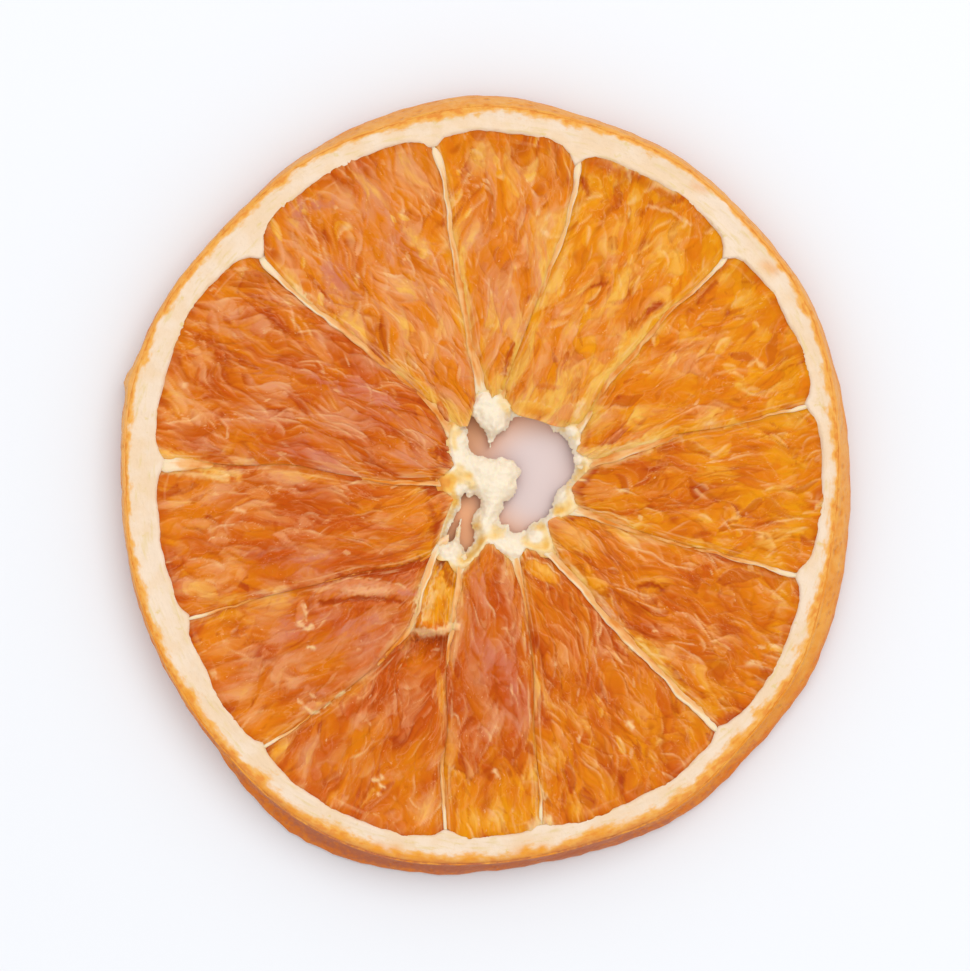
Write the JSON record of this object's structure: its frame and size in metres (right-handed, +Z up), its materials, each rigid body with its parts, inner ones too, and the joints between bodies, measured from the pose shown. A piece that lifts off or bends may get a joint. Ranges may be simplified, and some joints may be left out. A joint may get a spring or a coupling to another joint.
{
  "type": "dried orange slice",
  "caption": "Round dried citrus slice with a raised pith rim, sunken pulp in segments and a torn hole in its core, lying flat.",
  "frame": {"origin": "the middle of the slice's box in X and Y, at the table it lies on", "axes": "+Z up through the slice's thickness, out of the cut face shown; +Y along its longest extent; +X to the right, seen from above"},
  "size_m": [0.063, 0.0674, 0.0046],
  "materials": {
    "pulp": "dried translucent juice sacs, amber to red-brown, satin with small glossy spots",
    "pith": "matte spongy cream pith and membranes",
    "rind": "satin pored orange skin, browner on the lower side"
  },
  "bodies": {
    "root": {"orange_slice": "pulp"}
  },
  "joints": []
}
